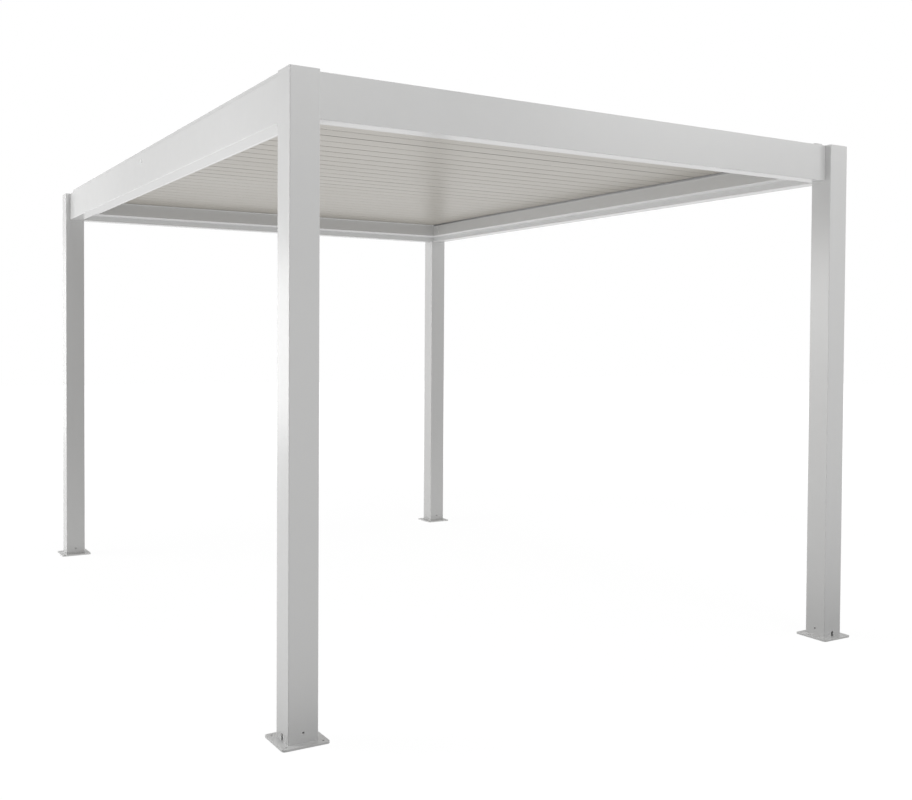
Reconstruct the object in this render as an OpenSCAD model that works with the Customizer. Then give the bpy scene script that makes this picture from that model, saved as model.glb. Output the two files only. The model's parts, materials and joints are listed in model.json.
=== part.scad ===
// Free-standing louvered pergola in powder-coated aluminium.
// Four hollow posts on bolted foot plates carry a ring of hollow beams, a perimeter gutter and
// a roof of pivoting blades that one link bar turns together.
// Millimetres, +Z up, origin on the ground at the middle of the plan. +X is to the right along
// the front beam and -Y is the front. The blades run along X and are drawn closed.

/* [Frame] */
// Width over the posts' outer faces, along X
frame_width = 3000; // [2400:50:3600]
// Length over the posts' outer faces, along Y
frame_length = 4200; // [3600:50:4600]
// Height from the ground to the top of the post caps
frame_height = 2496; // [2200:8:2800]

/* [Posts] */
// Width of the square posts
post_size = 120; // [110:1:140]
// Wall of the posts
post_wall = 3; // [2:0.5:5]
// Radius of the posts' vertical edges
post_corner = 4; // [1:0.5:6]
// Thickness of the plate on top of each post
cap_thickness = 4; // [3:0.5:8]
// Depth of the cap's skirt inside the post
cap_skirt = 14; // [8:1:30]

/* [Feet] */
// Side of the square foot plates
foot_size = 190; // [180:1:240]
// Thickness of the foot plates
foot_thickness = 8; // [4:0.5:12]
// Radius of the foot plates' corners
foot_corner = 14; // [4:1:20]
// Distance between anchor holes, along X and along Y
anchor_spacing = 146; // [144:1:160]
// Diameter of the anchor holes
anchor_hole = 12; // [8:0.5:14]
// Height of the socket tube inside each post
socket_height = 90; // [70:5:160]
// Wall of the socket tube
socket_wall = 4; // [3:0.5:6]
// Diameter of the fixing holes near the foot of a post
fixing_hole = 9; // [6:0.5:12]
// Height of the fixing holes' centres above the ground
fixing_height = 45; // [40:1:50]
// Width of the drain notch in the foot of a post
drain_width = 15; // [10:1:20]
// Height of the drain notch above the foot plate
drain_height = 28; // [20:1:34]

/* [Beams] */
// Width of the front and back beams
end_beam_width = 84; // [70:1:90]
// Width of the left and right beams
side_beam_width = 80; // [70:1:90]
// Height of the beams
beam_height = 178; // [160:1:220]
// Wall of the beams
beam_wall = 2.5; // [2:0.5:4]
// Radius of the beams' long edges
beam_corner = 3; // [1:0.5:5]
// Setback of the front and back beams behind the posts' outer faces
end_setback = 36; // [24:1:36]
// Setback of the left and right beams behind the posts' outer faces
side_setback = 28; // [16:1:34]
// Width of the raised crest along the top of the left and right beams
crest_width = 50; // [30:1:60]
// Height of the crest above the beam
crest_height = 27; // [10:1:40]
// Setback of the crest behind the beam's outer face
crest_setback = 18; // [6:1:24]

/* [Gutters] */
// Height of the gutter's underside above the beams' underside
gutter_rise = 34; // [20:1:50]
// Width of the left and right gutters
side_gutter = 78; // [70:1:90]
// Width of the front and back gutters
end_gutter = 138; // [100:1:160]
// Height of the gutter's walls
gutter_height = 76; // [60:1:84]
// Wall of the gutters
gutter_wall = 2; // [1.5:0.5:3]
// Height of the bead along the top of the gutter's inner wall
bead_height = 5; // [3:0.5:8]
// How far the bead stands out from the wall
bead_depth = 3; // [1:0.5:3]

/* [Louvers] */
// Number of blades
louver_count = 29; // [24:1:31]
// Thickness of a blade
louver_thickness = 20; // [16:0.5:24]
// How far a blade's top edge leans over its neighbour
louver_lean = 20; // [16:0.5:24]
// Wall of a blade
louver_wall = 1.5; // [1.2:0.1:2.5]
// Radius of a blade's two thin edges
louver_tip = 2; // [1:0.25:3]
// Clear gap between neighbouring blades, square to their edges
louver_gap = 5; // [5:0.5:8]
// Height of the two water ribs on a blade's top
rib_height = 3; // [2:0.5:5]
// Distance of the water ribs from the top face's edges
rib_inset = 6; // [3:0.5:12]
// Height of the blades' underside above the gutter's bead
louver_rise = 10; // [6:0.5:14]
// How far the roof of blades laps over the back gutter
back_lap = 8; // [4:1:16]
// Thickness of the plate that closes a blade's end
end_plate = 3; // [2:0.5:6]

/* [Pivots] */
// Diameter of the pivot pins
pivot_pin = 10; // [8:0.5:12]
// Running clearance round the pins, on the radius
pin_clearance = 0.3; // [0.2:0.05:0.5]
// Thickness of the pivot rails
rail_thickness = 3; // [2:0.5:5]
// Height of the pivot rails above the pins' centres
rail_top = 14; // [13:0.5:20]
// How far the pivot rails reach down behind the gutter's wall
rail_lap = 30; // [16:1:40]
// Diameter of the bushes in the pivot rails
bush_diameter = 20; // [18:0.5:24]
// How far the bushes stand out towards the blades
bush_reach = 6; // [4:0.5:10]
// Clear gap between moving pieces side by side
side_gap = 5; // [5:0.5:8]

/* [Linkage] */
// Distance from a pivot pin to its crank pin
crank_radius = 30; // [26:0.5:34]
// Thickness of the crank arms
crank_thickness = 4; // [3:0.5:6]
// Width of the crank arms
crank_width = 10; // [8:0.5:12]
// Diameter of the crank arms' round ends
crank_boss = 16; // [14:0.5:20]
// Diameter of the crank pins
crank_pin = 8; // [6:0.5:10]
// Height of the link bar
link_height = 20; // [16:1:24]
// Thickness of the link bar
link_thickness = 4; // [3:0.5:6]
// Length of the link bar past its first and last pin
link_end = 20; // [14:1:30]

/* [Hidden] */
$fn = 48;
fit_gap = 0.3;

half_width = frame_width / 2;
half_length = frame_length / 2;
post_height = frame_height - cap_thickness - foot_thickness;
post_bore = post_size - 2 * post_wall;
post_x = half_width - post_size / 2;
post_y = half_length - post_size / 2;

beam_bottom = frame_height - beam_height;
end_beam_y = half_length - end_setback - end_beam_width / 2;
side_beam_x = half_width - side_setback - side_beam_width / 2;
crest_x = half_width - side_setback - crest_setback - crest_width / 2;
ring_x = half_width - side_setback - side_beam_width;
ring_y = half_length - end_setback - end_beam_width;
roof_x = ring_x - side_gutter;
roof_y = ring_y - end_gutter;

gutter_bottom = beam_bottom + gutter_rise;
gutter_top = gutter_bottom + gutter_height;

// Blade section: a parallelogram whose slanted edges lean over the next blade.
lean_angle = atan2(louver_thickness, louver_lean);
joint_gap = louver_gap / sin(lean_angle);
louver_pitch = (2 * roof_y + back_lap) / louver_count;
louver_base = louver_pitch - joint_gap;
louver_chord = louver_base + louver_lean;
tip_back = louver_tip / tan(lean_angle / 2);
louver_bottom = gutter_top + louver_rise;
pivot_z = louver_bottom + louver_thickness / 2;
first_pivot_y = -roof_y + joint_gap / 2 + louver_chord / 2;

rail_face = roof_x + gutter_wall;
rail_back = rail_face + rail_thickness;
bush_face = rail_face - bush_reach;
louver_end = bush_face - side_gap;
crank_face = rail_back + side_gap;
link_face = crank_face + crank_thickness + side_gap;
pin_end = link_face + link_thickness + side_gap;
crank_drop = crank_radius * cos(45);

LEFT = -1;
RIGHT = 1;
FRONT = -1;
BACK = 1;

function louver_name(i) = str("louver_", i < 10 ? "0" : "", i);
function pivot_y(i) = first_pivot_y + (i - 1) * louver_pitch;

// Rectangle with rounded corners, centred.
module rounded_rectangle(size_x, size_y, radius) {
    square([size_x - 2 * radius, size_y], center = true);
    square([size_x, size_y - 2 * radius], center = true);
    for (sx = [-1, 1])
        for (sy = [-1, 1])
            translate([sx * (size_x / 2 - radius), sy * (size_y / 2 - radius)])
                circle(r = radius);
}

module square_tube(outer, wall, radius) {
    difference() {
        rounded_rectangle(outer, outer, radius);
        square(outer - 2 * wall, center = true);
    }
}

// Places its children at each post, and tells them the side and the end.
module at_posts() {
    for (side = [LEFT, RIGHT])
        for (end = [FRONT, BACK])
            translate([side * post_x, end * post_y, 0]) {
                $side = side;
                $end = end;
                children();
            }
}

// The four posts are one profile, turned a quarter from corner to corner. This is the way
// that the drain notch faces, as an angle about Z.
function drain_turn(side, end) = side == end ? (side == LEFT ? 180 : 0) : (side == LEFT ? 90 : 270);

// What is cut from the foot of a post: fixing holes through three faces and the drain notch
// through the fourth. Reach is how far the cuts run from the post's axis.
module foot_cuts(reach, hole, side, end) {
    rotate([0, 0, drain_turn(side, end)]) {
        translate([0, 0, foot_thickness])
            rotate([90, 0, 90])
                linear_extrude(reach)
                    drain_outline();
        for (turn = [90, 180, 270])
            rotate([0, 0, turn])
                translate([0, 0, fixing_height])
                    rotate([0, 90, 0])
                        cylinder(h = reach, d = hole);
    }
}

module drain_outline() {
    straight = drain_height - drain_width / 2;
    translate([-drain_width / 2, -1])
        square([drain_width, straight + 1]);
    translate([0, straight])
        circle(d = drain_width);
}

module post(side, end) {
    color("whitesmoke")
        translate([side * post_x, end * post_y, 0])
            difference() {
                translate([0, 0, foot_thickness])
                    linear_extrude(post_height)
                        square_tube(post_size, post_wall, post_corner);
                foot_cuts(post_size, fixing_hole, side, end);
            }
}

// Foot plates with the socket tubes that the posts slide over.
module base_plates() {
    socket = post_bore - 2 * fit_gap;
    color("gainsboro")
        at_posts() {
            linear_extrude(foot_thickness)
                difference() {
                    rounded_rectangle(foot_size, foot_size, foot_corner);
                    for (sx = [-1, 1])
                        for (sy = [-1, 1])
                            translate([sx, sy] * anchor_spacing / 2)
                                circle(d = anchor_hole);
                }
            difference() {
                translate([0, 0, foot_thickness])
                    linear_extrude(socket_height)
                        square_tube(socket, socket_wall, post_wall);
                foot_cuts(socket, fixing_hole - 2, $side, $end);
            }
        }
}

module post_caps() {
    skirt = post_bore - 2 * fit_gap;
    color("whitesmoke")
        at_posts() {
            translate([0, 0, frame_height - cap_thickness])
                linear_extrude(cap_thickness)
                    rounded_rectangle(post_size, post_size, post_corner);
            translate([0, 0, frame_height - cap_thickness - cap_skirt])
                linear_extrude(cap_skirt)
                    square_tube(skirt, post_wall, post_wall);
        }
}

// Hollow beam along X, centred on its own axis.
module beam(length, width) {
    rotate([90, 0, 90])
        linear_extrude(length, center = true)
            difference() {
                rounded_rectangle(width, beam_height, beam_corner);
                square([width - 2 * beam_wall, beam_height - 2 * beam_wall], center = true);
            }
}

// Hollow crest along X with closed ends, its underside's middle at the origin. It runs on
// into the beam's top wall, so the two are one.
module crest(length) {
    root = beam_wall / 2;
    difference() {
        rotate([90, 0, 90])
            linear_extrude(length, center = true)
                difference() {
                    translate([0, (crest_height - beam_corner) / 2])
                        rounded_rectangle(
                            crest_width, crest_height + beam_corner, beam_corner
                        );
                    translate([-crest_width / 2 - 1, -beam_corner - 1])
                        square([crest_width + 2, beam_corner + 1 - root]);
                }
        translate([-length / 2 + beam_wall, -crest_width / 2 + beam_wall, -root - 1])
            cube([length - 2 * beam_wall, crest_width - 2 * beam_wall,
                crest_height - beam_wall + root + 1]);
    }
}

module end_beam(end) {
    color("whitesmoke")
        translate([0, end * end_beam_y, beam_bottom + beam_height / 2])
            beam(frame_width - 2 * post_size, end_beam_width);
}

module side_beam(side) {
    length = frame_length - 2 * post_size;
    color("whitesmoke")
        union() {
            translate([side * side_beam_x, 0, beam_bottom + beam_height / 2])
                rotate([0, 0, 90])
                    beam(length, side_beam_width);
            translate([side * crest_x, 0, frame_height])
                rotate([0, 0, 90])
                    crest(length);
        }
}

// Channel section: x = 0 is the face against the beam and x = width the inner wall's face.
module gutter_section(width) {
    square([width, gutter_wall]);
    square([gutter_wall, gutter_height]);
    translate([width - gutter_wall, 0])
        square([gutter_wall, gutter_height]);
    translate([width - gutter_wall, gutter_height - bead_height])
        square([gutter_wall + bead_depth, bead_height]);
}

// Channel along Y whose inner wall faces -X, mitred at both ends to meet its neighbours.
// near and far are the half lengths at the inner wall and at the beam; face is the beam's.
module mitred_gutter(width, near, far, face) {
    slope = (far - near) / width;
    reach = width + bead_depth;
    intersection() {
        translate([face, 0, gutter_bottom])
            rotate([90, 0, 0])
                linear_extrude(2 * far, center = true)
                    mirror([1, 0])
                        gutter_section(width);
        translate([face, 0, gutter_bottom])
            linear_extrude(gutter_height)
                polygon([
                    [0, -far],
                    [0, far],
                    [-reach, far - slope * reach],
                    [-reach, -far + slope * reach]
                ]);
    }
}

module side_gutter_channel(side) {
    color("whitesmoke")
        mirror([side == LEFT ? 1 : 0, 0, 0])
            mitred_gutter(side_gutter, roof_y, ring_y, ring_x);
}

module end_gutter_channel(end) {
    color("whitesmoke")
        rotate([0, 0, end * 90])
            mitred_gutter(end_gutter, roof_x, ring_x, ring_y);
}

// Rails that stand behind the side gutters' inner walls, with a bush for each pivot pin.
module pivot_rails() {
    bottom = gutter_top - rail_lap;
    top = pivot_z + rail_top;
    color("silver")
        for (side = [0, 1])
            mirror([side, 0, 0])
                difference() {
                    union() {
                        translate([rail_face, -roof_y, bottom])
                            cube([rail_thickness, 2 * roof_y, top - bottom]);
                        for (i = [1 : louver_count])
                            translate([bush_face, pivot_y(i), pivot_z])
                                rotate([0, 90, 0])
                                    cylinder(h = bush_reach, d = bush_diameter);
                    }
                    for (i = [1 : louver_count])
                        translate([bush_face - 1, pivot_y(i), pivot_z])
                            rotate([0, 90, 0])
                                cylinder(
                                    h = rail_back - bush_face + 2,
                                    r = pivot_pin / 2 + pin_clearance
                                );
                }
}

// Points along an arc about a centre, from one angle to another.
function arc_points(centre, radius, from, to) = [
    for (step = [0 : 4])
        let (angle = from + (to - from) * step / 4)
            centre + radius * [cos(angle), sin(angle)]
];

// Points round a water rib that starts at u, from its right side to its left.
function rib_points(u) = [
    [u + louver_wall, louver_thickness],
    [u + louver_wall, louver_thickness + rib_height],
    [u, louver_thickness + rib_height],
    [u, louver_thickness]
];

// Outline of a blade: a parallelogram with rounded tips, and two ribs along the top that keep
// rain off the joints and lead it to the blade's ends. The origin is the lower left tip.
module louver_outline() {
    polygon(concat(
        arc_points([tip_back, louver_tip], louver_tip, 90 + lean_angle, 270),
        [[louver_base, 0]],
        arc_points(
            [louver_chord - tip_back, louver_thickness - louver_tip],
            louver_tip, lean_angle - 90, 90
        ),
        rib_points(louver_chord - tip_back - rib_inset - louver_wall),
        rib_points(louver_lean + rib_inset),
        [[louver_lean, louver_thickness]]
    ));
}

// The three chambers inside a blade, between two upright webs.
module louver_chambers() {
    low = louver_wall;
    high = louver_thickness - louver_wall;
    side = louver_wall / sin(lean_angle);
    lean_rate = louver_lean / louver_thickness;
    web_left = louver_lean + (louver_base - louver_lean) / 3;
    web_right = louver_lean + (louver_base - louver_lean) * 2 / 3;
    polygon([
        [side + low * lean_rate, low],
        [web_left - louver_wall / 2, low],
        [web_left - louver_wall / 2, high],
        [side + high * lean_rate, high]
    ]);
    translate([web_left + louver_wall / 2, low])
        square([web_right - web_left - louver_wall, high - low]);
    polygon([
        [web_right + louver_wall / 2, low],
        [louver_base - side + low * lean_rate, low],
        [louver_base - side + high * lean_rate, high],
        [web_right + louver_wall / 2, high]
    ]);
}

// Extrudes a blade section along X from x0 to x1, about the pivot.
module along_louver(x0, x1) {
    translate([x0, -louver_chord / 2, -louver_thickness / 2])
        rotate([90, 0, 90])
            linear_extrude(x1 - x0)
                children();
}

// Arm on the right-hand pivot pin, with the pin that the link bar turns on.
module crank() {
    translate([crank_face, 0, 0])
        rotate([90, 0, 90]) {
            linear_extrude(crank_thickness) {
                circle(d = crank_boss);
                translate([-crank_drop, -crank_drop])
                    circle(d = crank_boss);
                rotate(225)
                    translate([0, -crank_width / 2])
                        square([crank_radius, crank_width]);
            }
            translate([-crank_drop, -crank_drop, 0])
                cylinder(h = pin_end - crank_face, d = crank_pin);
        }
}

// A blade with its end plates, pivot pins and crank.
module louver(i) {
    color("lightgray")
        translate([0, pivot_y(i), pivot_z]) {
            difference() {
                along_louver(-louver_end, louver_end)
                    louver_outline();
                along_louver(-louver_end + end_plate, louver_end - end_plate)
                    louver_chambers();
            }
            translate([-rail_back - side_gap, 0, 0])
                rotate([0, 90, 0])
                    cylinder(h = rail_back + side_gap - louver_end, d = pivot_pin);
            translate([louver_end, 0, 0])
                rotate([0, 90, 0])
                    cylinder(h = crank_face - louver_end, d = pivot_pin);
            crank();
        }
}

// Flat bar that joins every crank pin, so that the blades turn together.
module link_bar() {
    start = pivot_y(1) - crank_drop - link_end;
    finish = pivot_y(louver_count) - crank_drop + link_end;
    color("silver")
        difference() {
            translate([link_face, start, pivot_z - crank_drop - link_height / 2])
                cube([link_thickness, finish - start, link_height]);
            for (i = [1 : louver_count])
                translate([link_face - 1, pivot_y(i) - crank_drop, pivot_z - crank_drop])
                    rotate([0, 90, 0])
                        cylinder(h = link_thickness + 2, r = crank_pin / 2 + pin_clearance);
        }
}

post(LEFT, FRONT);  // front_left_post
post(RIGHT, FRONT);  // front_right_post
post(LEFT, BACK);  // back_left_post
post(RIGHT, BACK);  // back_right_post
base_plates();
post_caps();
end_beam(FRONT);  // front_beam
end_beam(BACK);  // back_beam
side_beam(LEFT);  // left_beam
side_beam(RIGHT);  // right_beam
end_gutter_channel(FRONT);  // front_gutter
end_gutter_channel(BACK);  // back_gutter
side_gutter_channel(LEFT);  // left_gutter
side_gutter_channel(RIGHT);  // right_gutter
pivot_rails();
link_bar();
for (i = [1 : louver_count])
    louver(i);
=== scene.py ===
"""Finishes, small fittings and a plain stage for a free-standing louvered pergola.

Everything is in metres in the construction's own frame: +Z up, the origin on the ground in the
middle of the plan, +X to the right along the front beam and -Y the front.
"""

import json
import math

import bpy
from bpy.props import FloatProperty, FloatVectorProperty, IntProperty, PointerProperty
from mathutils import Matrix, Vector


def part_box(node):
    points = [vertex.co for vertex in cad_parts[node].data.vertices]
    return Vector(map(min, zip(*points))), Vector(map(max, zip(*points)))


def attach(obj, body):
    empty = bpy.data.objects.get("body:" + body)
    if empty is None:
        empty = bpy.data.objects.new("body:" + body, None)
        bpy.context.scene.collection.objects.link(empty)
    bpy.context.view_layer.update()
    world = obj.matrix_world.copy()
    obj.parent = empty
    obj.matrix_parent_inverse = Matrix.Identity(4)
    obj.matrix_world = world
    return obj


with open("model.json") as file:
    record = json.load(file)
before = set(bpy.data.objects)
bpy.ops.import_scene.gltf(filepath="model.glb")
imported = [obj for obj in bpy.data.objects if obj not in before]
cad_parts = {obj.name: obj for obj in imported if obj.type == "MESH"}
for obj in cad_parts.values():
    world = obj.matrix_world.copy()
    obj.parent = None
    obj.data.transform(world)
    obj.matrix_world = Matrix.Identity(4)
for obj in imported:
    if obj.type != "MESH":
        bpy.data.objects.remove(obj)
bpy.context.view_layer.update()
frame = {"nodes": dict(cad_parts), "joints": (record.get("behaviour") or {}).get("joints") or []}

bl_info = {
    "name": "Louvered Pergola",
    "version": (1, 0, 0),
    "blender": (4, 5, 0),
    "location": "View3D > Sidebar > Pergola",
    "description": "Finishes, fittings and a plain stage for a louvered pergola",
    "category": "Object",
}

SIDES = {"left": -1, "right": 1}
ENDS = {"front": -1, "back": 1}
BLADE_TURNS = [joint for joint in frame["joints"] if joint["child"].startswith("louver_")]
BAR_TURN = next(joint for joint in frame["joints"] if joint["child"] == "link_bar")

RAIL_LOW, RAIL_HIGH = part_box("pivot_rails")
BAR_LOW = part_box("link_bar")[0]
BLADE_LOW, BLADE_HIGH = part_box("louver_01")
FIRST_PIVOT = Vector(BLADE_TURNS[0]["pos_m"])
PITCH = BLADE_TURNS[1]["pos_m"][1] - BLADE_TURNS[0]["pos_m"][1]
CRANK_ARM = Vector(BAR_TURN["pos_m"]) - FIRST_PIVOT

# Numbers of the blades whose front edge gets painted shade, so that their joint shows as a dark
# line, and of those whose front edge gets painted light, so that their joint hardly shows, each
# with how much. Past the last plain one, every front edge gets one amount of painted light.
PAINTED_SHADE_EDGES = {6: 1.0, 15: 1.0, 17: 0.8}
PAINTED_LIGHT_EDGES = {5: 1.0, 7: 1.0, 14: 0.7}
LAST_PLAIN_EDGE = 18
FAR_PAINTED_LIGHT = 0.6

# Outer radii of the fittings on the blades' pins, as multiples of the pin's radius
FLANGE_RATIO = 1.7
CLIP_RATIO = 1.65
SPACER_RATIO = 1.6
# Share of the gap beside a crank arm that its spacer fills
SPACER_FILL = 0.84

# Section of a seal, as steps up the blade's slanted edge: how far up, and how far the seal stands
# out of the edge as a share of its whole reach
SEAL_SECTION = (
    (0.0024, 0.30), (0.0034, 0.42), (0.0040, 0.80), (0.0046, 0.97), (0.0053, 1.0),
    (0.0064, 0.93), (0.0080, 0.60), (0.0098, 0.36), (0.0125, 0.30),
)
# Where the seal's foot starts and ends on the edge, and how far it is sunk in
SEAL_FOOT = (0.0020, 0.0130)
SEAL_SINK = 0.0003

# Lamps: name, place, target, width and height. The stage's settings hold their powers.
LAMPS = (
    ("key", (-9.0, 4.5, 3.4), (0.0, 1.0, 1.4), 6.0, 3.6),
    ("front", (0.5, -9.0, 6.0), (0.5, -2.0, 2.3), 5.0, 2.0),
    ("fill", (4.8, -6.5, 4.8), (1.0, -1.5, 2.0), 3.0, 2.5),
    ("strip", (-5.2, 8.0, 1.45), (-1.5, -1.0, 1.45), 4.5, 2.4),
    ("near", (-2.7, -1.1, 1.35), (-1.5, -2.0, 1.3), 0.5, 1.2),
    ("top", (0.0, 0.0, 8.5), (0.0, 0.0, 2.5), 2.6, 3.6),
)

# How far round each front foot the floor gives off less light
SHADED_FEET = {"front_left_post": 0.5, "front_right_post": 1.3}

WHITE = (1.0, 1.0, 1.0, 1.0)


# ---------------------------------------------------------------------------------------------
# Sizes and colours that a user may change
# ---------------------------------------------------------------------------------------------

def length(name, description, default, low=0.0001, high=10.0):
    """A size in metres."""
    return FloatProperty(
        name=name, description=description, default=default, min=low, max=high,
        unit="LENGTH", subtype="DISTANCE", precision=4,
    )


def colour(name, description, default):
    """A colour, as linear red, green and blue."""
    return FloatVectorProperty(
        name=name, description=description, default=default, size=3, min=0.0, max=1.0,
        subtype="COLOR",
    )


def share(name, description, default, high=1.0):
    """A number from 0 to its highest value."""
    return FloatProperty(
        name=name, description=description, default=default, min=0.0, max=high, subtype="FACTOR",
    )


class PergolaFinish(bpy.types.PropertyGroup):
    """Colours and gloss of the finishes."""

    frame_colour: colour(
        "Frame", "Powder coat of the posts, beams and gutters", (0.68, 0.68, 0.675))
    # The gutters' sides are darker with painted shade, and their undersides lighter with painted
    # light
    gutter_shaded_colour: colour("Gutters", "Powder coat of the gutters' sides, with painted shade", (0.63, 0.63, 0.625))
    gutter_under_painted_light: colour("Gutters below, painted light", "The same coat on their undersides, with painted light", (0.86, 0.86, 0.855))
    plate_colour: colour("Feet", "Powder coat of the foot plates", (0.76, 0.76, 0.755))
    blade_colour: colour("Blades", "Powder coat of the blades", (0.447, 0.42, 0.373))
    # Painted shade and painted light on the blades' front edges, which darken or fade the joints'
    # lines
    edge_painted_shade: colour("Painted joint shade", "Painted shade on the front edge of a blade whose joint shows", (0.03, 0.03, 0.03))
    edge_painted_light: colour(
        "Painted joint light", "Painted light on the front edge of a blade whose joint is faint", (0.9, 0.88, 0.84))
    # Darker than bare aluminium: partly its dull mill finish, partly painted shade for the slot
    # above the gutters' bead, where the rails show
    metal_colour_with_shade: colour("Bare aluminium", "Pivot rails and link bar, darkened with painted shade", (0.40, 0.40, 0.41))
    steel_colour: colour("Zinc-plated steel", "Nuts, screws and clips", (0.60, 0.61, 0.64))
    nylon_colour: colour("Nylon", "Bush flanges and spacers", (0.045, 0.045, 0.05))
    rubber_colour: colour("Rubber", "Seals between the blades", (0.06, 0.06, 0.06))
    plug_colour: colour("Plugs", "Plastic plugs in the side beams", (0.94, 0.94, 0.93))
    sealant_colour: colour("Sealant", "Beads along the gutter mitres", (0.45, 0.45, 0.45))
    frame_roughness: share("Frame roughness", "How matt the frame's paint is", 0.25)
    plate_roughness: share("Foot roughness", "How matt the paint of the foot plates is", 0.33)
    blade_roughness: share("Blade roughness", "How matt the blades' paint is", 0.35)


class PergolaFittings(bpy.types.PropertyGroup):
    """Sizes of the small fittings."""

    plug_radius: length("Plug radius", "Radius of the plugs in the side beams", 0.013)
    plug_height: length("Plug height", "How far a plug stands out", 0.0028)
    plug_place: FloatProperty(
        name="Plug place", description="Place of the plugs along the side beams", default=0.10,
        unit="LENGTH", subtype="DISTANCE")
    plug_drop: length("Plug drop", "Depth of the plugs below the crest's top", 0.070)
    nut_radius: length("Nut flange radius", "Radius of the flange nuts on the rails", 0.005)
    nut_height: length("Nut height", "Height of a flange nut with its stud", 0.0045)
    nut_count: IntProperty(
        name="Nuts on a rail", description="Number of flange nuts on each rail", default=15, min=2)
    nut_inset: length("Nut inset", "Distance of the end nuts from the rails' ends", 0.050)
    nut_lift: length("Nut lift", "Height of the nuts above the rails' lower edge", 0.006)
    screw_radius: length("Screw radius", "Radius of the end plates' screw heads", 0.0036)
    screw_height: length("Screw height", "How far a screw head stands out", 0.0006)
    screw_offset: length("Screw offset", "Distance of the end screws from the pivot", 0.0167)
    blade_end: length("Blade end", "Distance of the blades' ends from the middle", 1.305)
    blade_chord: length("Blade chord", "Width of a blade over its two tips", 0.14024)
    blade_thickness: length("Blade thickness", "Thickness, and lean, of a blade", 0.020)
    clip_thickness: length("Clip thickness", "Thickness of the retaining clips", 0.0010)
    clip_inset: length("Clip inset", "Distance of the clips from the pins' ends", 0.002)
    flange_thickness: length("Flange thickness", "Thickness of the bush flanges", 0.0015)
    pivot_radius: length("Pivot pin radius", "Radius of the blades' pivot pins", 0.005)
    crank_pin_radius: length("Crank pin radius", "Radius of the crank pins", 0.004)
    crank_thickness: length("Crank thickness", "Thickness of the crank arms", 0.004)
    side_gap: length("Side gap", "Clear gap between moving pieces side by side", 0.005)
    seal_reach: length("Seal reach", "How far a seal stands out of a blade's edge", 0.0038)
    seal_inset: length("Seal inset", "Distance of the seals from the blades' ends", 0.001)
    seam_radius: length("Seam radius", "Radius of the sealant beads", 0.0010)
    seam_drop: length("Seam drop", "Distance of the inner seams below the gutters' rim", 0.006)
    gutter_wall: length("Gutter wall", "Thickness of the gutters' walls", 0.002)
    gutter_bead: length("Gutter bead", "How far the gutters' bead stands out", 0.003)


class PergolaStage(bpy.types.PropertyGroup):
    """Floor, lamps and camera."""

    floor_size: length("Floor size", "Side of the floor", 60.0, high=200.0)
    floor_glow: share("Floor glow", "Share of the floor that shows as pure white", 0.86)
    floor_white: share("Floor white", "How bright that share is", 1.12, 2.0)
    floor_light: share("Floor light", "Strength of the light that comes off the floor", 0.74, 4.0)
    ambient: share("Ambient", "Strength of the even light from all round", 0.162, 4.0)
    key_power: share("Key power", "Watts of the big lamp high on the left", 384.0, 5000.0)
    front_power: share("Front power", "Watts of the wide lamp high in front", 203.0, 5000.0)
    fill_power: share("Fill power", "Watts of the lamp at the front right", 63.0, 5000.0)
    strip_power: share("Strip power", "Watts of the low lamp at the back left", 62.0, 500.0)
    near_power: share("Near power", "Watts of the small lamp by the front left post", 7.0, 100.0)
    top_power: share("Top power", "Watts of the lamp over the roof", 180.0, 5000.0)
    lens: FloatProperty(
        name="Lens", description="Focal length on a 36 mm wide sensor, in millimetres",
        default=42.43, min=10.0, max=200.0)


# ---------------------------------------------------------------------------------------------
# Laying out nodes
# ---------------------------------------------------------------------------------------------

class Value:
    """A number carried by a socket. Arithmetic on it adds Math nodes."""

    def __init__(self, work, socket):
        self.work = work
        self.socket = socket

    def _math(self, operation, *terms):
        node = self.work.node("ShaderNodeMath", enumerate(terms), operation=operation)
        return Value(self.work, node.outputs[0])

    def __add__(self, other):
        return self._math("ADD", self, other)

    __radd__ = __add__

    def __sub__(self, other):
        return self._math("SUBTRACT", self, other)

    def __rsub__(self, other):
        return self._math("SUBTRACT", other, self)

    def __mul__(self, other):
        return self._math("MULTIPLY", self, other)

    __rmul__ = __mul__

    def __truediv__(self, other):
        return self._math("DIVIDE", self, other)

    def floor(self):
        return self._math("FLOOR", self)


class Work:
    """A node tree, with one method that adds any node."""

    def __init__(self, tree):
        self.tree = tree

    def node(self, kind, inputs=(), **settings):
        """Adds a node: its settings first, then the values or links of its sockets."""
        made = self.tree.nodes.new(kind)
        for key, setting in settings.items():
            setattr(made, key, setting)
        for key, given in dict(inputs).items():
            if isinstance(given, Value):
                given = given.socket
            if isinstance(given, bpy.types.NodeSocket):
                self.tree.links.new(given, made.inputs[key])
            else:
                made.inputs[key].default_value = given
        return made


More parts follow.
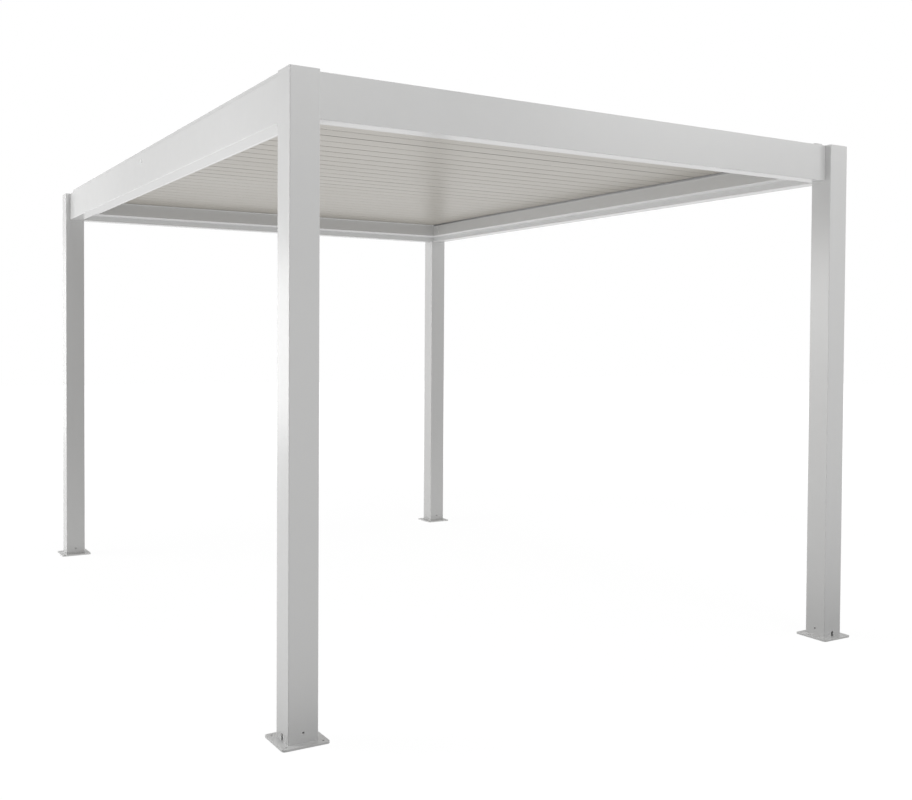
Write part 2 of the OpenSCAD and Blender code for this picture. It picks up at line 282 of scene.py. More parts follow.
class Finish(Work):
    """A material whose patterns lie on Object coordinates."""

    def __init__(self, name):
        self.material = bpy.data.materials.new(name)
        self.material.use_nodes = True
        super().__init__(self.material.node_tree)
        self.tree.nodes.clear()
        self.place = self.node("ShaderNodeTexCoord").outputs["Object"]

    def axis(self, index):
        """One coordinate of the place on the surface."""
        parts = self.node("ShaderNodeSeparateXYZ", {0: self.place})
        return Value(self, parts.outputs[index])

    def noise(self, size, stretch=(1.0, 1.0, 1.0), detail=2.0):
        """Soft noise about 0, from -0.5 to 0.5. Stretch makes it longer along an axis."""
        scaled = self.node(
            "ShaderNodeMapping",
            {"Vector": self.place, "Scale": [1.0 / (size * each) for each in stretch]},
        )
        cloud = self.node(
            "ShaderNodeTexNoise",
            {"Vector": scaled.outputs[0], "Scale": 1.0, "Detail": detail, "Roughness": 0.5},
            noise_dimensions="3D",
        )
        return Value(self, cloud.outputs[0]) - 0.5

    def step(self, value, low, high):
        """Rises smoothly from 0 at low to 1 at high."""
        ranged = self.node(
            "ShaderNodeMapRange",
            {"Value": value, "From Min": low, "From Max": high},
            interpolation_type="SMOOTHSTEP",
        )
        return Value(self, ranged.outputs[0])

    def match(self, value, number):
        """1 where the value is the whole number, and 0 elsewhere."""
        node = self.node("ShaderNodeMath", {0: value, 1: number, 2: 0.5}, operation="COMPARE")
        return Value(self, node.outputs[0])

    def blend(self, factor, first, second):
        """The first colour where factor is 0 and the second where it is 1."""
        mixed = self.node("ShaderNodeMix", {"Factor": factor}, data_type="RGBA")
        for name, given in (("A_Color", first), ("B_Color", second)):
            socket = next(each for each in mixed.inputs if each.identifier == name)
            if isinstance(given, bpy.types.NodeSocket):
                self.tree.links.new(given, socket)
            else:
                socket.default_value = (*given, 1.0)
        return next(each for each in mixed.outputs if each.identifier == "Result_Color")

    def tinted(self, base, amount):
        """The base colour, lighter and darker by the varying amount."""
        reach = 0.2
        dark = [(1 - reach) * each for each in base]
        light = [min(1.0, (1 + reach) * each) for each in base]
        return self.blend(amount * (0.5 / reach) + 0.5, dark, light)

    def bump(self, height, distance, under=None):
        """A normal from a height that varies by about 1, which stands for the given distance."""
        inputs = {"Height": height, "Distance": distance, "Strength": 1.0}
        if under is not None:
            inputs["Normal"] = under
        return self.node("ShaderNodeBump", inputs).outputs[0]

    def finish(self, base, roughness, normal, metallic=0.0):
        """Joins the surface to the output."""
        inputs = {"Base Color": base, "Roughness": roughness, "Normal": normal}
        surface = self.node("ShaderNodeBsdfPrincipled", {**inputs, "Metallic": metallic})
        self.node("ShaderNodeOutputMaterial", {"Surface": surface.outputs[0]})
        return self.material


class Layout(Work):
    """A Geometry Nodes tree with named inputs, which ends in realized, painted mesh."""

    def __init__(self, name, inputs):
        super().__init__(bpy.data.node_groups.new(name, "GeometryNodeTree"))
        face = self.tree.interface
        face.new_socket("Geometry", in_out="OUTPUT", socket_type="NodeSocketGeometry")
        face.new_socket("Geometry", in_out="INPUT", socket_type="NodeSocketGeometry")
        self.identifiers = {}
        for label, kind in {**inputs, "Material": "Material"}.items():
            made = face.new_socket(label, in_out="INPUT", socket_type="NodeSocket" + kind)
            self.identifiers[label] = made.identifier
        self.given = self.node("NodeGroupInput").outputs

    def facing(self):
        """Rotation that turns +Z to the way that each point faces."""
        way = self.node(
            "GeometryNodeInputNamedAttribute", {"Name": "facing"}, data_type="FLOAT_VECTOR")
        turn = self.node(
            "FunctionNodeAlignRotationToVector", {"Vector": way.outputs[0]}, axis="Z")
        return turn.outputs[0]

    def close(self, geometry):
        """Realizes the instances, keeps round faces smooth, sets the material and ends the tree."""
        whole = self.node("GeometryNodeRealizeInstances", {0: geometry}).outputs[0]
        crease = math.radians(40)
        angle = Value(self, self.node("GeometryNodeInputMeshEdgeAngle").outputs[0])
        sharp = self.node("FunctionNodeCompare", {0: angle, 1: crease})
        smooth = self.node("GeometryNodeSetShadeSmooth", {0: whole}, domain="FACE")
        creased = self.node(
            "GeometryNodeSetShadeSmooth",
            {"Geometry": smooth.outputs[0], "Selection": sharp.outputs[0], "Shade Smooth": False},
            domain="EDGE",
        )
        painted = self.node(
            "GeometryNodeSetMaterial",
            {"Geometry": creased.outputs[0], "Material": self.given["Material"]},
        )
        self.node("NodeGroupOutput", {0: painted.outputs[0]})
        return self


def turned(layout, profile, sides):
    """A solid turned about Z. The profile is (radius, height) pairs from the flat base's rim."""
    base = layout.node(
        "GeometryNodeMeshCircle", {"Vertices": sides, "Radius": profile[0][0]}, fill_type="NGON")
    shape = base.outputs[0]
    top = None
    for (radius, height), (next_radius, next_height) in zip(profile, profile[1:]):
        inputs = {"Mesh": shape, "Offset Scale": next_height - height, "Individual": False}
        if top is not None:
            inputs["Selection"] = top
        raised = layout.node("GeometryNodeExtrudeMesh", inputs, mode="FACES")
        top = raised.outputs["Top"]
        scaled = layout.node(
            "GeometryNodeScaleElements",
            {"Geometry": raised.outputs["Mesh"], "Selection": top, "Scale": next_radius / radius},
            domain="FACE",
        )
        shape = scaled.outputs[0]
    under = layout.node("GeometryNodeFlipFaces", {0: base.outputs[0]})
    return merged(layout, [shape, under.outputs[0]])


def joined(layout, shapes):
    """Several shapes as one."""
    node = layout.node("GeometryNodeJoinGeometry")
    for shape in shapes:
        layout.tree.links.new(shape, node.inputs[0])
    return node.outputs[0]


def merged(layout, shapes):
    """Several shapes whose shared points are made one."""
    near = 0.0001
    node = layout.node(
        "GeometryNodeMergeByDistance", {"Geometry": joined(layout, shapes), "Distance": near})
    return node.outputs[0]


def ring(layout, bore, sweep):
    """A flat ring about Z with an outer radius and a thickness of 1, and a gap if it is open."""
    width = 1.0 - bore
    if sweep < 360:
        line = layout.node(
            "GeometryNodeCurveArc",
            {
                "Resolution": 20,
                "Radius": (1.0 + bore) / 2,
                "Start Angle": math.radians(90 + (360 - sweep) / 2),
                "Sweep Angle": math.radians(sweep),
            },
        )
    else:
        line = layout.node(
            "GeometryNodeCurvePrimitiveCircle", {"Resolution": 24, "Radius": (1.0 + bore) / 2})
    section = layout.node(
        "GeometryNodeCurvePrimitiveQuadrilateral", {"Width": width, "Height": 1.0})
    swept = layout.node(
        "GeometryNodeCurveToMesh",
        {"Curve": line.outputs[0], "Profile Curve": section.outputs[0], "Fill Caps": True},
    )
    return swept.outputs[0]


def plug_shape(layout):
    """Round plug with a low crown and a fine step round its rim."""
    rim = [(1.0, 0.0), (1.0, 0.35), (0.96, 0.5), (0.86, 0.56)]
    crown = [(0.8, 0.72), (0.55, 0.92), (0.2, 1.0)]
    return turned(layout, rim + crown, sides=32)


def nut_shape(layout):
    """Flange nut on the end of a stud."""
    flange = turned(layout, [(1.0, 0.0), (1.0, 0.12), (0.78, 0.3)], sides=24)
    hexagon = turned(layout, [(0.76, 0.1), (0.76, 0.78), (0.66, 0.86)], sides=6)
    stud = turned(layout, [(0.40, 0.6), (0.40, 0.94), (0.32, 1.0)], sides=16)
    return joined(layout, [flange, hexagon, stud])


def screw_shape(layout):
    """Countersunk head with a round-cornered socket."""
    head = [(1.0, -0.5), (1.0, 0.6), (0.9, 1.0)]
    socket = [(0.42, 1.0), (0.36, -1.0), (0.1, -1.4)]
    return turned(layout, head + socket, sides=20)


def clip_shape(layout):
    """Open retaining clip."""
    return ring(layout, bore=0.58, sweep=290)


def sleeve_shape(layout):
    """Plain round sleeve or flange."""
    return ring(layout, bore=0.64, sweep=360)


def fitting_layout(name, shape):
    """A tree that sets one shape on every point of a mesh, turned to the way that it faces."""
    layout = Layout(name, {"Radius": "Float", "Height": "Float"})
    size = layout.node(
        "ShaderNodeCombineXYZ",
        {0: layout.given["Radius"], 1: layout.given["Radius"], 2: layout.given["Height"]},
    )
    placed = layout.node(
        "GeometryNodeInstanceOnPoints",
        {
            "Points": layout.given["Geometry"],
            "Instance": shape(layout),
            "Rotation": layout.facing(),
            "Scale": size.outputs[0],
        },
    )
    return layout.close(placed.outputs[0])


def strip_layout():
    """A tree that draws flat outlines out along X into strips."""
    layout = Layout("Strip along X", {"Length": "Float"})
    way = layout.node("ShaderNodeCombineXYZ", {0: 1.0})
    drawn = layout.node(
        "GeometryNodeExtrudeMesh",
        {
            "Mesh": layout.given["Geometry"],
            "Offset": way.outputs[0],
            "Offset Scale": layout.given["Length"],
            "Individual": False,
        },
        mode="FACES",
    )
    start = layout.node("GeometryNodeFlipFaces", {0: layout.given["Geometry"]})
    return layout.close(merged(layout, [drawn.outputs["Mesh"], start.outputs[0]]))


def bead_layout():
    """A tree that lays a round bead along the edges of a mesh."""
    layout = Layout("Sealant bead", {"Radius": "Float"})
    line = layout.node("GeometryNodeMeshToCurve", {0: layout.given["Geometry"]})
    section = layout.node(
        "GeometryNodeCurvePrimitiveCircle", {"Resolution": 10, "Radius": layout.given["Radius"]})
    swept = layout.node(
        "GeometryNodeCurveToMesh",
        {"Curve": line.outputs[0], "Profile Curve": section.outputs[0], "Fill Caps": True},
    )
    return layout.close(swept.outputs[0])


# ---------------------------------------------------------------------------------------------
# Making pieces
# ---------------------------------------------------------------------------------------------

def settings():
    """The sizes and colours in use."""
    scene = bpy.context.scene
    return scene.pergola_finish, scene.pergola_fittings, scene.pergola_stage


def point_mesh(name, places):
    """A mesh of loose points, each with the way that it faces. Places are (point, way) pairs."""
    mesh = bpy.data.meshes.new(name)
    mesh.from_pydata([place for place, _ in places], [], [])
    facing = mesh.attributes.new("facing", "FLOAT_VECTOR", "POINT")
    for item, (_, way) in zip(facing.data, places):
        item.vector = way
    return mesh


def laid_out(name, mesh, layout, **inputs):
    """Runs the tree on the mesh and returns the plain mesh that comes of it."""
    carrier = bpy.data.objects.new(name, mesh)
    bpy.context.scene.collection.objects.link(carrier)
    modifier = carrier.modifiers.new(layout.tree.name, "NODES")
    modifier.node_group = layout.tree
    for label, given in inputs.items():
        modifier[layout.identifiers[label]] = given
    depsgraph = bpy.context.evaluated_depsgraph_get()
    made = bpy.data.meshes.new_from_object(carrier.evaluated_get(depsgraph))
    bpy.data.objects.remove(carrier)
    if not made.polygons:
        raise RuntimeError(f"{name} came out empty")
    for attribute in [each for each in made.attributes if each.name == "facing"]:
        made.attributes.remove(attribute)
    return made


def fitted(name, places, layout, radius, height, material):
    """One mesh of like fittings, with one on each place."""
    return laid_out(
        name, point_mesh(name, places), layout, Radius=radius, Height=height, Material=material)


def piece(name, body, meshes):
    """One object of the meshes, riding on a body of the construction."""
    made = bpy.data.objects.new(name, meshes[0])
    bpy.context.scene.collection.objects.link(made)
    if len(meshes) > 1:
        others = [bpy.data.objects.new(name, mesh) for mesh in meshes[1:]]
        for other in others:
            bpy.context.scene.collection.objects.link(other)
        with bpy.context.temp_override(
            active_object=made, selected_editable_objects=[made, *others]
        ):
            bpy.ops.object.join()
    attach(made, body)


def paint(nodes, material):
    """Gives nodes of the construction their finish."""
    for name in nodes:
        for slot in frame["nodes"][name].material_slots:
            slot.material = material


# ---------------------------------------------------------------------------------------------
# Finishes
# ---------------------------------------------------------------------------------------------

# Materials that more than one operator uses, filled as they are asked for
SHARED = {}


def powder_coat(name, base, roughness, under=None):
    """Satin powder coat on extruded profiles: an even film with a fine peel and a soft cloud.

    Faces that look down take the colour under, if it is given: painted light, which stands in for
    the light that comes up to them from below."""
    finish = Finish(name)
    cloud = finish.noise(0.7)
    film = finish.noise(0.06)
    peel = finish.noise(0.0022, detail=1.0)
    varied = cloud * 0.05 + film * 0.02 + peel * 0.03
    tone = finish.tinted(base, varied)
    # Painted light: faces that look down take the lighter colour under
    if under is not None:
        normal = finish.node("ShaderNodeNewGeometry").outputs["True Normal"]
        rise = Value(finish, finish.node("ShaderNodeSeparateXYZ", {0: normal}).outputs[2])
        looks_down = finish.step(rise * -1, 0.7, 0.9)
        tone = finish.blend(looks_down, tone, finish.tinted(under, varied))
    gloss = cloud * 0.06 + film * 0.05 + roughness
    waves = finish.bump(film, 0.00006)
    normal = finish.bump(peel, 0.00004, waves)
    return finish.finish(tone, gloss, normal)


def blade_coat(name, base, roughness, half_width, dark, pale):
    """Smooth coat on the blades: fine lines along the extrusion, and no two quite alike.

    The place across the blades is measured along their slanted edges, so that each edge has one
    place. The joints aren't alike either: low down, a few front edges carry painted shade, which
    darkens their joint's line, and others painted light, which fades it."""
    finish = Finish(name)
    start = FIRST_PIVOT.y - FIRST_PIVOT.z - PITCH / 2
    across = (finish.axis(1) - finish.axis(2) - start) / PITCH
    count = across.floor()
    behind_edge = (across - count) * PITCH - PITCH / 2 + half_width
    band_start, band_end = 0.0015, 0.0035
    low, high = FIRST_PIVOT.z - 0.005, FIRST_PIVOT.z - 0.001
    edge = 1 - finish.step(behind_edge, band_start, band_end)
    edge = edge * (1 - finish.step(finish.axis(2), low, high))
    batch = finish.node("ShaderNodeTexWhiteNoise", {"W": count}, noise_dimensions="1D")
    cloud = finish.noise(0.6)
    lines = finish.noise(0.006, stretch=(150.0, 1.0, 1.0), detail=3.0)
    peel = finish.noise(0.002, detail=1.0)
    shade = (Value(finish, batch.outputs[0]) - 0.5) * 0.03
    tone = finish.tinted(base, shade + cloud * 0.05 + lines * 0.03 + peel * 0.02)
    # Painted light fades the joint's line on some front edges, and painted shade darkens it on
    # others
    faint = finish.step(count, LAST_PLAIN_EDGE - 1, LAST_PLAIN_EDGE) * FAR_PAINTED_LIGHT
    shown = 0.0
    for louver, weight in PAINTED_LIGHT_EDGES.items():
        faint = finish.match(count, louver - 1) * weight + faint
    for louver, weight in PAINTED_SHADE_EDGES.items():
        shown = finish.match(count, louver - 1) * weight + shown
    tone = finish.blend(edge * faint, tone, pale)
    tone = finish.blend(edge * shown, tone, dark)
    gloss = cloud * 0.08 + lines * 0.06 + roughness
    waves = finish.bump(lines, 0.00005)
    normal = finish.bump(peel, 0.00002, waves)
    return finish.finish(tone, gloss, normal)


def mill_aluminium(name, base):
    """Bare extruded aluminium with drawn lines along Y and a dull bloom."""
    finish = Finish(name)
    lines = finish.noise(0.0012, stretch=(1.0, 300.0, 1.0), detail=3.0)
    bloom = finish.noise(0.03)
    tone = finish.tinted(base, lines * 0.12 + bloom * 0.10)
    gloss = lines * 0.10 + bloom * 0.12 + 0.40
    return finish.finish(tone, gloss, finish.bump(lines, 0.00004), metallic=0.9)


def zinc_plate(name, base):
    """Zinc-plated steel with a faint spangle."""
    finish = Finish(name)
    spangle = finish.noise(0.0025)
    tone = finish.tinted(base, spangle * 0.2)
    return finish.finish(tone, spangle * 0.2 + 0.32, finish.bump(spangle, 0.00003), metallic=1.0)


def moulded(name, base, roughness, grain):
    """Moulded plastic or rubber with a fine grain."""
    finish = Finish(name)
    fine = finish.noise(grain)
    cloud = finish.noise(grain * 20)
    mottle = fine * 0.08 + cloud * 0.08
    return finish.finish(
        finish.tinted(base, mottle), mottle + roughness, finish.bump(fine, grain * 0.03))


def fitting_steel(colours):
    """The zinc plate that nuts, screws and clips share, made the first time it is asked for."""
    if "steel" not in SHARED:
        SHARED["steel"] = zinc_plate("Zinc-plated steel", colours.steel_colour)
    return SHARED["steel"]


def fitting_nylon(colours):
    """The nylon that flanges and spacers share, made the first time it is asked for."""
    if "nylon" not in SHARED:
        SHARED["nylon"] = moulded(
            "Black nylon", colours.nylon_colour, roughness=0.45, grain=0.0006)
    return SHARED["nylon"]


# ---------------------------------------------------------------------------------------------
# Operators
# ---------------------------------------------------------------------------------------------

class PERGOLA_OT_paint_frame(bpy.types.Operator):
    """Gives the posts, caps, beams and gutters their satin powder coat"""

    bl_idname = "pergola.paint_frame"
    bl_label = "Paint the frame"

    def execute(self, context):
        colours, _, _ = settings()
        coat = powder_coat("Frame powder coat", colours.frame_colour, colours.frame_roughness)
        paint([name for name in frame["nodes"] if name.endswith(("_post", "_beam", "_caps"))], coat)
        # The gutters' sides take painted shade, and their undersides painted light
        coat = powder_coat(
            "Gutter powder coat", colours.gutter_shaded_colour, colours.frame_roughness,
            colours.gutter_under_painted_light)
        paint([name for name in frame["nodes"] if name.endswith("_gutter")], coat)
        return {"FINISHED"}


class PERGOLA_OT_paint_feet(bpy.types.Operator):
    """Gives the foot plates their powder coat"""

    bl_idname = "pergola.paint_feet"
    bl_label = "Paint the feet"

    def execute(self, context):
        colours, _, _ = settings()
        coat = powder_coat("Foot powder coat", colours.plate_colour, colours.plate_roughness)
        paint(["base_plates"], coat)
        return {"FINISHED"}


class PERGOLA_OT_paint_blades(bpy.types.Operator):
    """Gives the blades their smooth, warmer coat"""

    bl_idname = "pergola.paint_blades"
    bl_label = "Paint the blades"

    def execute(self, context):
        colours, sizes, _ = settings()
        # The front edges get painted shade or painted light, which darkens or fades their joints'
        # lines
        coat = blade_coat(
            "Blade powder coat", colours.blade_colour, colours.blade_roughness,
            (sizes.blade_chord - sizes.blade_thickness) / 2, colours.edge_painted_shade, colours.edge_painted_light)
        paint([turn["child"] for turn in BLADE_TURNS], coat)
        return {"FINISHED"}


class PERGOLA_OT_finish_metal(bpy.types.Operator):
    """Gives the pivot rails and the link bar their bare aluminium"""

    bl_idname = "pergola.finish_metal"
    bl_label = "Finish the bare metal"

    def execute(self, context):
        colours, _, _ = settings()
        # The aluminium's colour is darkened with painted shade, for the slot where the rails show
        paint(["pivot_rails", "link_bar"], mill_aluminium("Mill aluminium", colours.metal_colour_with_shade))
        return {"FINISHED"}


class PERGOLA_OT_beam_plugs(bpy.types.Operator):
    """Sets a round plug in the outer face of each side beam"""

    bl_idname = "pergola.beam_plugs"
    bl_label = "Beam plugs"

    def execute(self, context):
        colours, sizes, _ = settings()
        places = []
        for name, side in SIDES.items():
            low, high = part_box(name + "_beam")
            face = low.x if side < 0 else high.x
            place = Vector((face, sizes.plug_place, high.z - sizes.plug_drop))
            places.append((place, Vector((side, 0, 0))))
        plastic = moulded("White plastic", colours.plug_colour, roughness=0.35, grain=0.0008)
        made = fitted(
            "beam_plugs", places, fitting_layout("Beam plug", plug_shape),
            sizes.plug_radius, sizes.plug_height, plastic)
        piece("beam_plugs", "frame", [made])
        return {"FINISHED"}


class PERGOLA_OT_rail_nuts(bpy.types.Operator):
    """Fastens the pivot rails with flange nuts on studs, on the gutters' side"""

    bl_idname = "pergola.rail_nuts"
    bl_label = "Rail nuts"

    def execute(self, context):
        colours, sizes, _ = settings()
        first = RAIL_LOW.y + sizes.nut_inset
        step = (RAIL_HIGH.y - RAIL_LOW.y - 2 * sizes.nut_inset) / (sizes.nut_count - 1)
        places = []
        for side in SIDES.values():
            for index in range(sizes.nut_count):
                place = Vector(
                    (side * RAIL_HIGH.x, first + index * step, RAIL_LOW.z + sizes.nut_lift))
                places.append((place, Vector((side, 0, 0))))
        steel = fitting_steel(colours)
        made = fitted(
            "rail_nuts", places, fitting_layout("Flange nut", nut_shape),
            sizes.nut_radius, sizes.nut_height, steel)
        piece("rail_nuts", "frame", [made])
        return {"FINISHED"}


class PERGOLA_OT_bush_flanges(bpy.types.Operator):
    """Adds the nylon flange of each bush behind the pivot rails"""

    bl_idname = "pergola.bush_flanges"
    bl_label = "Bush flanges"

    def execute(self, context):
        colours, sizes, _ = settings()
        places = []
        for side in SIDES.values():
            for turn in BLADE_TURNS:
                centre = Vector(turn["pos_m"])
                centre.x = side * (RAIL_HIGH.x + sizes.flange_thickness / 2)
                places.append((centre, Vector((side, 0, 0))))
        nylon = fitting_nylon(colours)
        made = fitted(
            "bush_flanges", places, fitting_layout("Bush flange", sleeve_shape),
            sizes.pivot_radius * FLANGE_RATIO, sizes.flange_thickness, nylon)
        piece("bush_flanges", "frame", [made])
        return {"FINISHED"}


class PERGOLA_OT_blade_fittings(bpy.types.Operator):
    """Adds each blade's end screws, retaining clips and crank pin spacer"""

    bl_idname = "pergola.blade_fittings"
    bl_label = "Blade fittings"

    def execute(self, context):
        colours, sizes, _ = settings()
        steel = fitting_steel(colours)
        nylon = fitting_nylon(colours)
        screw = fitting_layout("End screw", screw_shape)
        clip = fitting_layout("Retaining clip", clip_shape)
        spacer = fitting_layout("Crank pin spacer", sleeve_shape)
        left, right = (Vector((side, 0, 0)) for side in SIDES.values())
        spacer_x = (BAR_LOW.x + RAIL_HIGH.x + sizes.side_gap + sizes.crank_thickness) / 2
        for turn in BLADE_TURNS:
            name = turn["child"]
            pivot = Vector(turn["pos_m"])
            crank_pin = pivot + CRANK_ARM
            heads = [
                (pivot + side * sizes.blade_end + Vector((0, way * sizes.screw_offset, 0)), side)
                for side in (left, right)
                for way in (-1, 1)
            ]
            pivot_end = Vector((BLADE_LOW.x + sizes.clip_inset, pivot.y, pivot.z))
            crank_end = Vector((BLADE_HIGH.x - sizes.clip_inset, crank_pin.y, crank_pin.z))
            beside_bar = Vector((spacer_x, crank_pin.y, crank_pin.z))
            meshes = [
                fitted("screws", heads, screw, sizes.screw_radius, sizes.screw_height, steel),
                fitted(
                    "pivot clip", [(pivot_end, left)], clip,
                    sizes.pivot_radius * CLIP_RATIO, sizes.clip_thickness, steel),
                fitted(
                    "crank clip", [(crank_end, right)], clip,
                    sizes.crank_pin_radius * CLIP_RATIO, sizes.clip_thickness, steel),
                fitted(
                    "spacer", [(beside_bar, right)], spacer,
                    sizes.crank_pin_radius * SPACER_RATIO, sizes.side_gap * SPACER_FILL, nylon),
            ]
            piece(name + "_fittings", name, meshes)
        return {"FINISHED"}


def seal_outline(start, pivot, sizes):
    """Section of a rubber seal in the plane X = start, low on the edge that leans over the next
    blade.

    It has a flat foot and a lip, which ends short of the next blade."""
    lean = sizes.blade_thickness
    corner = pivot + Vector((0, sizes.blade_chord / 2 - lean, -lean / 2))
    along = Vector((0, 1, 1)).normalized()
    out = Vector((0, 1, -1)).normalized()
    section = [(up, share * sizes.seal_reach) for up, share in SEAL_SECTION]
    points = []
    for up, stand in [(SEAL_FOOT[0], -SEAL_SINK), *section, (SEAL_FOOT[1], -SEAL_SINK)]:
        point = corner + along * up + out * stand
        point.x = start
        points.append(point)
    return points


class PERGOLA_OT_blade_seals(bpy.types.Operator):
    """Runs a rubber seal along the edge of each blade that overhangs the next"""

    bl_idname = "pergola.blade_seals"
    bl_label = "Blade seals"

    def execute(self, context):
        colours, sizes, _ = settings()
        rubber = moulded("Grey rubber", colours.rubber_colour, roughness=0.75, grain=0.0008)
        strip = strip_layout()
        start = sizes.seal_inset - sizes.blade_end
        for turn in BLADE_TURNS[:-1]:
            name = turn["child"]
            points = seal_outline(start, Vector(turn["pos_m"]), sizes)
            outline = bpy.data.meshes.new("seal outline")
            outline.from_pydata(points, [], [list(range(len(points)))])
            made = laid_out(
                name + "_seal", outline, strip, Length=-2 * start, Material=rubber)
            piece(name + "_seal", name, [made])
        return {"FINISHED"}


class PERGOLA_OT_mitre_seams(bpy.types.Operator):
    """Lays sealant along the gutters' mitres, inside the channel and underneath"""

    bl_idname = "pergola.mitre_seams"
    bl_label = "Mitre seams"

    def execute(self, context):
        colours, sizes, _ = settings()
        material = moulded("Grey sealant", colours.sealant_colour, roughness=0.5, grain=0.002)
        wall = sizes.gutter_wall
        bead = sizes.gutter_bead
        points = []
        edges = []
        side_low, side_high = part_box("right_gutter")
        end_low, end_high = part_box("back_gutter")
        inner = Vector((side_low.x + bead, end_low.y + bead))
        outer = Vector((side_high.x, end_high.y))
        along = (outer - inner).normalized() * wall
        under = side_low.z
        channel = [
            (inner + along, side_high.z - sizes.seam_drop),
            (inner + along, under + wall),
            (outer - along, under + wall),
            (outer - along, side_high.z - wall),
        ]
        outside = [(inner, side_high.z - sizes.seam_drop), (inner, under), (outer, under)]
        for side in SIDES.values():
            for end in ENDS.values():
                for line in (channel, outside):
                    first = len(points)
                    points += [(side * flat.x, end * flat.y, height) for flat, height in line]
                    edges += [(first + k, first + k + 1) for k in range(len(line) - 1)]
        lines = bpy.data.meshes.new("seam lines")
        lines.from_pydata(points, edges, [])
        made = laid_out(
            "mitre_seams", lines, bead_layout(), Radius=sizes.seam_radius, Material=material)
        piece("mitre_seams", "frame", [made])
        return {"FINISHED"}


class PERGOLA_OT_build_stage(bpy.types.Operator):
    """Lays the pale floor and sets the world, the lamps and the camera"""

    bl_idname = "pergola.build_stage"
    bl_label = "Build the stage"

    def execute(self, context):
        _, _, stage = settings()
        lay_floor(stage)
        light_world(stage)
        for name, place, target, width, height in LAMPS:
            hang_lamp(name, place, target, width, height, getattr(stage, name + "_power"))
        set_camera(stage)
        return {"FINISHED"}


def shows_backdrop(work):
    """1 for the rays that should meet a pure white backdrop."""
    path = work.node("ShaderNodeLightPath").outputs
    seen = Value(work, path["Is Camera Ray"]) + Value(work, path["Is Glossy Ray"])
    return seen + Value(work, path["Is Transmission Ray"])


def floor_light(work, strength):
    """Even light that comes up off the floor, with less of it close to the two front feet."""
    dimmed = 0.3
    under_foot = 0.1
    dim = work.node("ShaderNodeEmission", {"Color": WHITE, "Strength": dimmed * strength})
    full = work.node("ShaderNodeEmission", {"Color": WHITE, "Strength": strength})
    place = work.node("ShaderNodeTexCoord").outputs["Object"]
    for post, reach in SHADED_FEET.items():
        low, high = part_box(post)
        foot = ((low.x + high.x) / 2, (low.y + high.y) / 2, 0.0)
        away = work.node("ShaderNodeVectorMath", {0: place, 1: foot}, operation="DISTANCE")
        open_floor = work.node(
            "ShaderNodeMapRange",
            {"Value": away.outputs["Value"], "From Min": under_foot, "From Max": reach},
            interpolation_type="SMOOTHSTEP",
        )
        mixed = {0: open_floor.outputs[0], 1: dim.outputs[0], 2: full.outputs[0]}
        full = work.node("ShaderNodeMixShader", mixed)
    return full.outputs[0]


def lay_floor(stage):
    """A pale floor that shows white and takes a faint shadow, and is plain white further out."""
    half = stage.floor_size / 2
    drop = 0.001
    grey = 0.55
    fade_start, fade_end = 4.0, 9.0
    mesh = bpy.data.meshes.new("floor")
    corners = [(-half, -half), (half, -half), (half, half), (-half, half)]
    mesh.from_pydata([(x, y, -drop) for x, y in corners], [], [(0, 1, 2, 3)])
    floor = bpy.data.objects.new("floor", mesh)
    bpy.context.scene.collection.objects.link(floor)
    material = bpy.data.materials.new("Pale floor")
    material.use_nodes = True
    work = Work(material.node_tree)
    work.tree.nodes.clear()
    pale = work.node("ShaderNodeBsdfDiffuse", {"Color": (grey, grey, grey, 1.0)})
    white = work.node("ShaderNodeEmission", {"Color": WHITE, "Strength": stage.floor_white})
    near = work.node(
        "ShaderNodeMixShader", {0: stage.floor_glow, 1: pale.outputs[0], 2: white.outputs[0]})
    place = work.node("ShaderNodeTexCoord").outputs["Object"]
    away = work.node("ShaderNodeVectorMath", {0: place}, operation="LENGTH").outputs["Value"]
    far = work.node(
        "ShaderNodeMapRange", {"Value": away, "From Min": fade_start, "From Max": fade_end},
        interpolation_type="SMOOTHSTEP",
    )
    seen = work.node(
        "ShaderNodeMixShader", {0: far.outputs[0], 1: near.outputs[0], 2: white.outputs[0]})
    shown = work.node(
        "ShaderNodeMixShader",
        {0: shows_backdrop(work), 1: floor_light(work, stage.floor_light), 2: seen.outputs[0]},
    )
    work.node("ShaderNodeOutputMaterial", {"Surface": shown.outputs[0]})
    mesh.materials.append(material)


def light_world(stage):
    """Even light from all round, and a pure white backdrop."""
    world = bpy.data.worlds.new("Studio")
    bpy.context.scene.world = world
    world.use_nodes = True
    work = Work(world.node_tree)
    work.tree.nodes.clear()
    even = work.node("ShaderNodeBackground", {"Color": WHITE, "Strength": stage.ambient})
    white = work.node("ShaderNodeBackground", {"Color": WHITE, "Strength": 1.0})
    shown = work.node(
        "ShaderNodeMixShader",
        {0: shows_backdrop(work), 1: even.outputs[0], 2: white.outputs[0]},
    )
    work.node("ShaderNodeOutputWorld", {"Surface": shown.outputs[0]})


def hang_lamp(name, place, target, width, height, power):
    """A wide soft lamp at a place, turned to a target."""
    data = bpy.data.lights.new(name, "AREA")
    data.shape = "RECTANGLE"
    data.size = width
    data.size_y = height
    data.energy = power
    lamp = bpy.data.objects.new(name, data)
    lamp.location = place
    lamp.rotation_euler = (Vector(target) - Vector(place)).to_track_quat("-Z", "Y").to_euler()
    lamp.visible_camera = False
    bpy.context.scene.collection.objects.link(lamp)


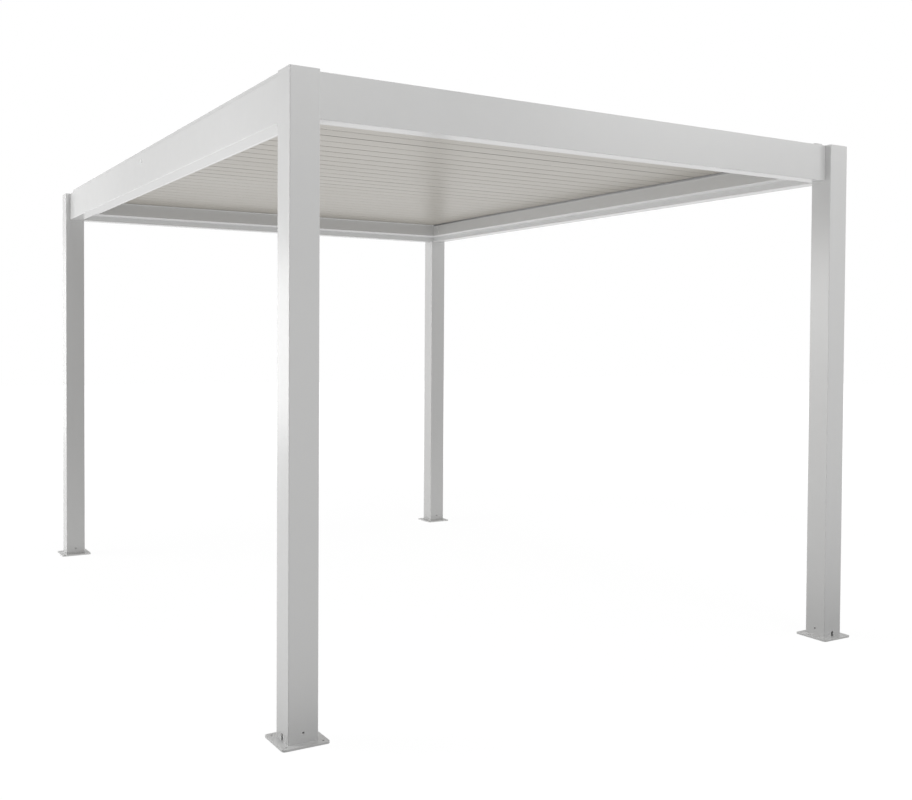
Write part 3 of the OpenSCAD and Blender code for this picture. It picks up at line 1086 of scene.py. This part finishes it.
def set_camera(stage):
    """A camera at eye height off the front left corner, looking towards the back right."""
    place = Vector((-2.97067, -5.7846, 1.49679))
    heading = math.radians(31.2605)
    tilt = math.radians(-1.3635)
    roll = math.radians(0.3652)
    ahead = Vector((
        math.sin(heading) * math.cos(tilt), math.cos(heading) * math.cos(tilt), math.sin(tilt)))
    level = Vector((math.cos(heading), -math.sin(heading), 0.0))
    rising = level.cross(ahead)
    right = level * math.cos(roll) + rising * math.sin(roll)
    up = rising * math.cos(roll) - level * math.sin(roll)
    data = bpy.data.cameras.new("camera")
    data.sensor_width = 36.0
    data.lens = stage.lens
    data.shift_x = -0.0141
    data.shift_y = -0.0360
    data.clip_end = 200.0
    camera = bpy.data.objects.new("camera", data)
    turned_to = Matrix((right, up, -ahead)).transposed().to_4x4()
    camera.matrix_world = Matrix.Translation(place) @ turned_to
    bpy.context.scene.collection.objects.link(camera)
    bpy.context.scene.camera = camera
    bpy.context.scene.view_settings.view_transform = "Standard"


# ---------------------------------------------------------------------------------------------
# Panel and registration
# ---------------------------------------------------------------------------------------------

OPERATORS = (
    PERGOLA_OT_build_stage,
    PERGOLA_OT_paint_frame,
    PERGOLA_OT_paint_feet,
    PERGOLA_OT_paint_blades,
    PERGOLA_OT_finish_metal,
    PERGOLA_OT_beam_plugs,
    PERGOLA_OT_rail_nuts,
    PERGOLA_OT_bush_flanges,
    PERGOLA_OT_blade_fittings,
    PERGOLA_OT_blade_seals,
    PERGOLA_OT_mitre_seams,
)


class PERGOLA_PT_sidebar(bpy.types.Panel):
    """Lists the pergola's operators and settings"""

    bl_idname = "PERGOLA_PT_sidebar"
    bl_label = "Louvered Pergola"
    bl_space_type = "VIEW_3D"
    bl_region_type = "UI"
    bl_category = "Pergola"

    def draw(self, context):
        column = self.layout.column()
        for operator in OPERATORS:
            column.operator(operator.bl_idname)
        for group in settings():
            box = self.layout.box()
            for name in group.__annotations__:
                box.prop(group, name)


SETTINGS = {
    "pergola_finish": PergolaFinish,
    "pergola_fittings": PergolaFittings,
    "pergola_stage": PergolaStage,
}


def register():
    for group in SETTINGS.values():
        bpy.utils.register_class(group)
    for name, group in SETTINGS.items():
        setattr(bpy.types.Scene, name, PointerProperty(type=group))
    for operator in OPERATORS:
        bpy.utils.register_class(operator)
    bpy.utils.register_class(PERGOLA_PT_sidebar)


def unregister():
    bpy.utils.unregister_class(PERGOLA_PT_sidebar)
    for operator in reversed(OPERATORS):
        bpy.utils.unregister_class(operator)
    for name in SETTINGS:
        delattr(bpy.types.Scene, name)
    for group in SETTINGS.values():
        bpy.utils.unregister_class(group)


def main():
    register()
    for operator in OPERATORS:
        group, _, action = operator.bl_idname.partition(".")
        getattr(getattr(bpy.ops, group), action)()


if __name__ == "__main__":
    main()
